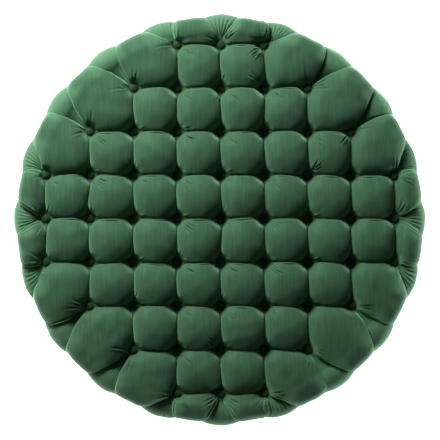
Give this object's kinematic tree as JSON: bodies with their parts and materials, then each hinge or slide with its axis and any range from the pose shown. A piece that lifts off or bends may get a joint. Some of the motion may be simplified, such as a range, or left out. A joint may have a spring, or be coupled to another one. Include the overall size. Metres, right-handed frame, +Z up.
{
  "type": "round storage ottoman",
  "caption": "Round deep-buttoned velvet storage ottoman with a rear-hinged padded lid on two slotted stays, over an open lined well, on turned feet.",
  "frame": {"origin": "on the floor at the centre of the drum", "axes": "+Z up, +Y towards the hinges at the rear, +X to the right of someone facing the front"},
  "size_m": [1, 1, 0.44],
  "materials": {
    "velvet": "matte",
    "foam": "matte",
    "twine": "matte",
    "lining": "matte",
    "dust_cloth": "matte",
    "plywood": "matte",
    "hardboard": "matte",
    "dark_wood": "satin",
    "steel": "satin",
    "black_steel": "satin",
    "bumper_rubber": "matte",
    "plastic": "matte"
  },
  "bodies": {
    "drum": {"base_cover": "velvet", "base_buttons": "velvet", "base_foam": "foam", "base_tufting_twine": "twine", "base_twine_backers": "plastic", "upper_ring": "plywood", "lower_ring": "plywood", "floor_panel": "plywood", "frame_studs": "plywood", "well_wall_lining": "lining", "well_floor_lining": "lining", "inner_panel": "hardboard", "outer_skin": "hardboard", "dust_cover": "dust_cloth", "rim_bumpers": "bumper_rubber", "foot_bolts": "steel", "foot_tee_nuts": "steel", "foot_glides": "plastic", "hinge_base_screws": "steel", "stay_drum_screws": "steel", "foot_1": "dark_wood", "foot_2": "dark_wood", "foot_3": "dark_wood", "foot_4": "dark_wood", "foot_5": "dark_wood", "foot_6": "dark_wood", "hinge_left_base_leaf": "black_steel", "hinge_left_pin": "steel", "stay_left_drum_bracket": "black_steel", "stay_left_slide_stud": "steel", "hinge_right_base_leaf": "black_steel", "hinge_right_pin": "steel", "stay_right_drum_bracket": "black_steel", "stay_right_slide_stud": "steel"},
    "lid": {"lid_cover": "velvet", "lid_foam": "foam", "lid_buttons": "velvet", "lid_piping": "velvet", "lid_board": "plywood", "lid_lining": "lining", "lid_tufting_twine": "twine", "lid_twine_backers": "plastic", "hinge_lid_screws": "steel", "stay_lid_screws": "steel", "hinge_left_lid_leaf": "black_steel", "hinge_right_lid_leaf": "black_steel", "stay_left_lid_bracket": "black_steel", "stay_right_lid_bracket": "black_steel", "stay_left_rivet": "steel", "stay_right_rivet": "steel"},
    "stay_left": {"stay_left_arm": "black_steel"},
    "stay_right": {"stay_right_arm": "black_steel"}
  },
  "joints": [
    {"name": "lid_hinge", "type": "hinge", "parent": "drum", "child": "lid", "pos_m": [0, 0.49, 0.287], "axis": [-1, 0, 0], "range_deg": [0, 75]},
    {"name": "stay_left_pivot", "type": "hinge", "parent": "lid", "child": "stay_left", "pos_m": [-0.152, 0.34, 0.281], "axis": [-1, 0, 0], "range_deg": [-38, 0]},
    {"name": "stay_right_pivot", "type": "hinge", "parent": "lid", "child": "stay_right", "pos_m": [0.152, 0.34, 0.281], "axis": [-1, 0, 0], "range_deg": [-38, 0]}
  ],
  "couplings": [
    {"joint": "stay_left_pivot", "follows": "lid_hinge", "ratio": -0.5},
    {"joint": "stay_right_pivot", "follows": "lid_hinge", "ratio": -0.5}
  ]
}
